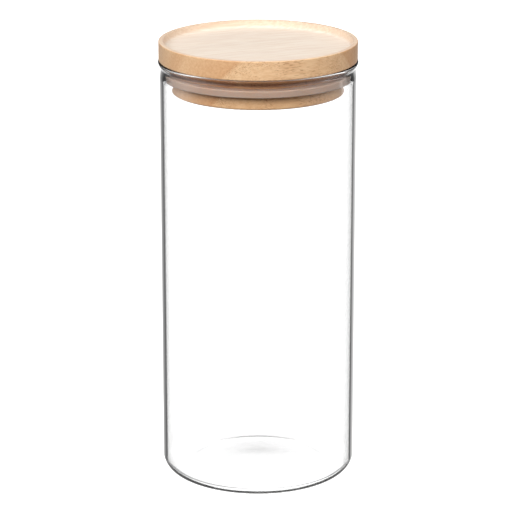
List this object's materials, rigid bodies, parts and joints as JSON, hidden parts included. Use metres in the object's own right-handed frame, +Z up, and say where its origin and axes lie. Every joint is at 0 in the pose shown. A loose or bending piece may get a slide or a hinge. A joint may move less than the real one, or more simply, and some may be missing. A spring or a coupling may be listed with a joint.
{
  "type": "lidded glass canister",
  "caption": "Tall cylindrical clear glass storage canister with a dished round wooden plug lid and a translucent silicone sealing ring.",
  "frame": {"origin": "centre of the ring that the glass rests on, on the surface it stands on", "axes": "+Z up along the canister's axis, out through the lid; X and Y are level, and the shape is the same all round"},
  "size_m": [0.1006, 0.1006, 0.2266],
  "materials": {
    "clear_glass": "clear, colourless and fire polished",
    "pale_hardwood": "fine sanded, dry matt, pale straight-grained hardwood",
    "milky_silicone": "translucent, smooth, slightly milky"
  },
  "bodies": {
    "canister": {"glass_canister": "clear_glass"},
    "seal": {"seal_ring": "milky_silicone"},
    "lid": {"wooden_lid": "pale_hardwood"}
  },
  "joints": [
    {"name": "lid_lift", "type": "slide", "parent": "canister", "child": "seal", "axis": [0, 0, 1], "range_m": [0, 0.12]},
    {"name": "lid_turn", "type": "hinge", "parent": "seal", "child": "lid", "pos_m": [0, 0, 0.21], "axis": [0, 0, 1], "continuous": true}
  ]
}
